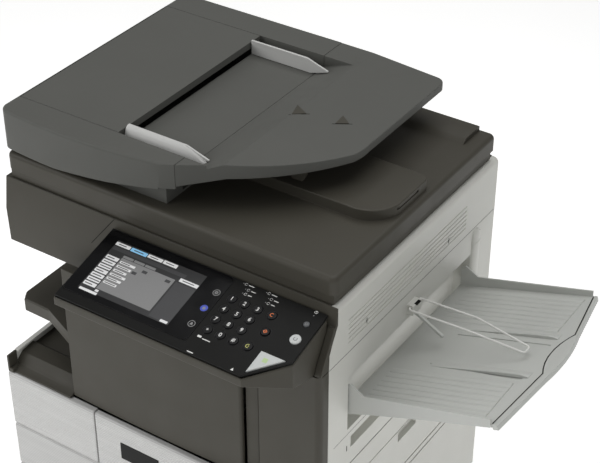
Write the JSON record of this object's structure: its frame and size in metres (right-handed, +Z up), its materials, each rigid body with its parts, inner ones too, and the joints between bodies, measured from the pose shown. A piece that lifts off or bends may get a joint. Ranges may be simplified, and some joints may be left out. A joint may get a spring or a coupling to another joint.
{
  "type": "photocopier",
  "caption": "Floor-standing office photocopier with a document feeder, tilted touch panel, paper cassettes, inner output space and a side exit tray.",
  "frame": {"origin": "on the floor under the middle of the body", "axes": "+Z up, -Y to the front, where the cassettes and the panel are, +X to the right-hand side with the exit tray"},
  "size_m": [0.8499, 0.6063, 0.8085],
  "materials": {
    "dark_plastic": "fine textured dark warm grey",
    "dark_top": "fine textured dark grey",
    "white_cover": "fine textured warm white",
    "striped_white": "white with fine level pinstripes",
    "tray_grey": "light grey, satin",
    "panel_black": "satin black",
    "screen_gloss": "glossy black",
    "key_black": "satin black",
    "key_grey": "light grey",
    "guide_grey": "light grey",
    "wire_grey": "light grey coated wire",
    "rubber": "matt black",
    "frame_steel": "zinc plated sheet",
    "screw_steel": "plated",
    "inner_black": "black moulding",
    "inner_grey": "grey moulding",
    "glass": "clear float glass",
    "pad_white": "white foam-backed sheet"
  },
  "bodies": {
    "chassis": {"plinth": "dark_plastic", "feet": "rubber", "base_frame": "frame_steel", "left_cover": "white_cover", "right_cover": "white_cover", "rear_cover": "white_cover", "front_left_cover": "striped_white", "pillar_cover": "dark_plastic", "inner_exit_tray": "dark_plastic", "separator_tray": "dark_plastic", "fuser_unit": "inner_black", "drum_unit": "inner_grey", "toner_cartridge": "inner_black", "scanner_tub": "dark_plastic", "scan_glass": "glass", "scanner_bezel": "dark_plastic", "scanner_side_cover": "white_cover", "panel_housing": "dark_plastic", "panel_face": "panel_black", "touchscreen": "screen_gloss", "hinge_brackets": "frame_steel", "side_exit_tray": "tray_grey", "screws": "screw_steel"},
    "feeder": {"platen_cover": "dark_top", "platen_pad": "pad_white", "feeder_housing": "dark_top", "document_tray": "dark_top", "hinge_arms": "frame_steel"},
    "feeder_lid": {"feeder_cover": "dark_top"},
    "front_guide": {"guide_front": "guide_grey"},
    "rear_guide": {"guide_rear": "guide_grey"},
    "roller": {"pickup_roller": "rubber"},
    "original_exit": {"exit_extension": "dark_plastic"},
    "carriage": {"scan_carriage": "inner_black"},
    "tray_extension": {"side_tray_extension": "tray_grey"},
    "holder": {"paper_holder": "wire_grey"},
    "right_door": {"side_door": "white_cover"},
    "bypass": {"bypass_tray": "white_cover"},
    "dark_door": {"front_door": "dark_plastic"},
    "white_door": {"toner_door": "striped_white"},
    "upper_cassette": {"cassette_upper": "striped_white"},
    "lower_cassette": {"cassette_lower": "striped_white"},
    "key_1_cap": {"key_1": "key_black"},
    "key_2_cap": {"key_2": "key_black"},
    "key_3_cap": {"key_3": "key_black"},
    "key_4_cap": {"key_4": "key_black"},
    "key_5_cap": {"key_5": "key_black"},
    "key_6_cap": {"key_6": "key_black"},
    "key_7_cap": {"key_7": "key_black"},
    "key_8_cap": {"key_8": "key_black"},
    "key_9_cap": {"key_9": "key_black"},
    "key_star_cap": {"key_star": "key_black"},
    "key_0_cap": {"key_0": "key_black"},
    "key_hash_cap": {"key_hash": "key_black"},
    "key_clear_cap": {"key_clear": "key_black"},
    "key_stop_cap": {"key_stop": "key_black"},
    "key_clear_all_cap": {"key_clear_all": "key_black"},
    "key_power_save_cap": {"key_power_save": "key_black"},
    "key_power_cap": {"key_power": "key_grey"},
    "key_start_cap": {"key_start": "key_grey"}
  },
  "joints": [
    {"name": "feeder_hinge", "type": "hinge", "parent": "chassis", "child": "feeder", "pos_m": [0, 0.25, 0.69], "axis": [-1, 0, 0], "range_deg": [0, 65]},
    {"name": "feeder_cover_hinge", "type": "hinge", "parent": "feeder", "child": "feeder_lid", "pos_m": [-0.286, 0.012, 0.8025], "axis": [0, -1, 0], "range_deg": [0, 75]},
    {"name": "guide_slide", "type": "slide", "parent": "feeder", "child": "front_guide", "axis": [0, 1, 0], "range_m": [0, 0.075]},
    {"name": "rear_guide_slide", "type": "slide", "parent": "feeder", "child": "rear_guide", "axis": [0, -1, 0], "range_m": [0, 0.075]},
    {"name": "pickup_roller_spin", "type": "hinge", "parent": "feeder", "child": "roller", "pos_m": [-0.136, 0.009, 0.781], "axis": [0, 1, 0], "continuous": true},
    {"name": "original_exit_slide", "type": "slide", "parent": "feeder", "child": "original_exit", "axis": [1, 0, 0], "range_m": [0, 0.06]},
    {"name": "carriage_slide", "type": "slide", "parent": "chassis", "child": "carriage", "axis": [1, 0, 0], "range_m": [0, 0.48]},
    {"name": "tray_extension_slide", "type": "slide", "parent": "chassis", "child": "tray_extension", "axis": [0.9532, 0, 0.3024], "range_m": [0, 0.09]},
    {"name": "paper_holder_hinge", "type": "hinge", "parent": "chassis", "child": "holder", "pos_m": [0.306, -0.003, 0.563], "axis": [0, -1, 0], "range_deg": [0, 60]},
    {"name": "side_door_hinge", "type": "hinge", "parent": "chassis", "child": "right_door", "pos_m": [0.296, 0.006, 0.231], "axis": [0, 1, 0], "range_deg": [0, 60]},
    {"name": "bypass_hinge", "type": "hinge", "parent": "right_door", "child": "bypass", "pos_m": [0.297, 0.006, 0.241], "axis": [0, 1, 0], "range_deg": [0, 65]},
    {"name": "front_door_hinge", "type": "hinge", "parent": "chassis", "child": "dark_door", "pos_m": [0.03, -0.244, 0.338], "axis": [1, 0, 0], "range_deg": [0, 75]},
    {"name": "toner_door_hinge", "type": "hinge", "parent": "chassis", "child": "white_door", "pos_m": [0.09, -0.252, 0.226], "axis": [1, 0, 0], "range_deg": [0, 80]},
    {"name": "upper_cassette_slide", "type": "slide", "parent": "chassis", "child": "upper_cassette", "axis": [0, -1, 0], "range_m": [0, 0.38]},
    {"name": "lower_cassette_slide", "type": "slide", "parent": "chassis", "child": "lower_cassette", "axis": [0, -1, 0], "range_m": [0, 0.38]},
    {"name": "key_1_press", "type": "slide", "parent": "chassis", "child": "key_1_cap", "axis": [0, 0.2622, -0.965], "range_m": [0, 0.0012], "stiffness_N_per_m": 500, "springref_m": -0.0008},
    {"name": "key_2_press", "type": "slide", "parent": "chassis", "child": "key_2_cap", "axis": [0, 0.2622, -0.965], "range_m": [0, 0.0012], "stiffness_N_per_m": 500, "springref_m": -0.0008},
    {"name": "key_3_press", "type": "slide", "parent": "chassis", "child": "key_3_cap", "axis": [0, 0.2622, -0.965], "range_m": [0, 0.0012], "stiffness_N_per_m": 500, "springref_m": -0.0008},
    {"name": "key_4_press", "type": "slide", "parent": "chassis", "child": "key_4_cap", "axis": [0, 0.2622, -0.965], "range_m": [0, 0.0012], "stiffness_N_per_m": 500, "springref_m": -0.0008},
    {"name": "key_5_press", "type": "slide", "parent": "chassis", "child": "key_5_cap", "axis": [0, 0.2622, -0.965], "range_m": [0, 0.0012], "stiffness_N_per_m": 500, "springref_m": -0.0008},
    {"name": "key_6_press", "type": "slide", "parent": "chassis", "child": "key_6_cap", "axis": [0, 0.2622, -0.965], "range_m": [0, 0.0012], "stiffness_N_per_m": 500, "springref_m": -0.0008},
    {"name": "key_7_press", "type": "slide", "parent": "chassis", "child": "key_7_cap", "axis": [0, 0.2622, -0.965], "range_m": [0, 0.0012], "stiffness_N_per_m": 500, "springref_m": -0.0008},
    {"name": "key_8_press", "type": "slide", "parent": "chassis", "child": "key_8_cap", "axis": [0, 0.2622, -0.965], "range_m": [0, 0.0012], "stiffness_N_per_m": 500, "springref_m": -0.0008},
    {"name": "key_9_press", "type": "slide", "parent": "chassis", "child": "key_9_cap", "axis": [0, 0.2622, -0.965], "range_m": [0, 0.0012], "stiffness_N_per_m": 500, "springref_m": -0.0008},
    {"name": "key_star_press", "type": "slide", "parent": "chassis", "child": "key_star_cap", "axis": [0, 0.2622, -0.965], "range_m": [0, 0.0012], "stiffness_N_per_m": 500, "springref_m": -0.0008},
    {"name": "key_0_press", "type": "slide", "parent": "chassis", "child": "key_0_cap", "axis": [0, 0.2622, -0.965], "range_m": [0, 0.0012], "stiffness_N_per_m": 500, "springref_m": -0.0008},
    {"name": "key_hash_press", "type": "slide", "parent": "chassis", "child": "key_hash_cap", "axis": [0, 0.2622, -0.965], "range_m": [0, 0.0012], "stiffness_N_per_m": 500, "springref_m": -0.0008},
    {"name": "key_clear_press", "type": "slide", "parent": "chassis", "child": "key_clear_cap", "axis": [0, 0.2622, -0.965], "range_m": [0, 0.0012], "stiffness_N_per_m": 500, "springref_m": -0.0008},
    {"name": "key_stop_press", "type": "slide", "parent": "chassis", "child": "key_stop_cap", "axis": [0, 0.2622, -0.965], "range_m": [0, 0.0012], "stiffness_N_per_m": 500, "springref_m": -0.0008},
    {"name": "key_clear_all_press", "type": "slide", "parent": "chassis", "child": "key_clear_all_cap", "axis": [0, 0.2622, -0.965], "range_m": [0, 0.0012], "stiffness_N_per_m": 500, "springref_m": -0.0008},
    {"name": "key_power_save_press", "type": "slide", "parent": "chassis", "child": "key_power_save_cap", "axis": [0, 0.2622, -0.965], "range_m": [0, 0.0012], "stiffness_N_per_m": 500, "springref_m": -0.0008},
    {"name": "key_power_press", "type": "slide", "parent": "chassis", "child": "key_power_cap", "axis": [0, 0.2622, -0.965], "range_m": [0, 0.0012], "stiffness_N_per_m": 500, "springref_m": -0.0008},
    {"name": "key_start_press", "type": "slide", "parent": "chassis", "child": "key_start_cap", "axis": [0, 0.2622, -0.965], "range_m": [0, 0.0012], "stiffness_N_per_m": 500, "springref_m": -0.0008}
  ],
  "couplings": [
    {"joint": "rear_guide_slide", "follows": "guide_slide", "ratio": 1}
  ]
}
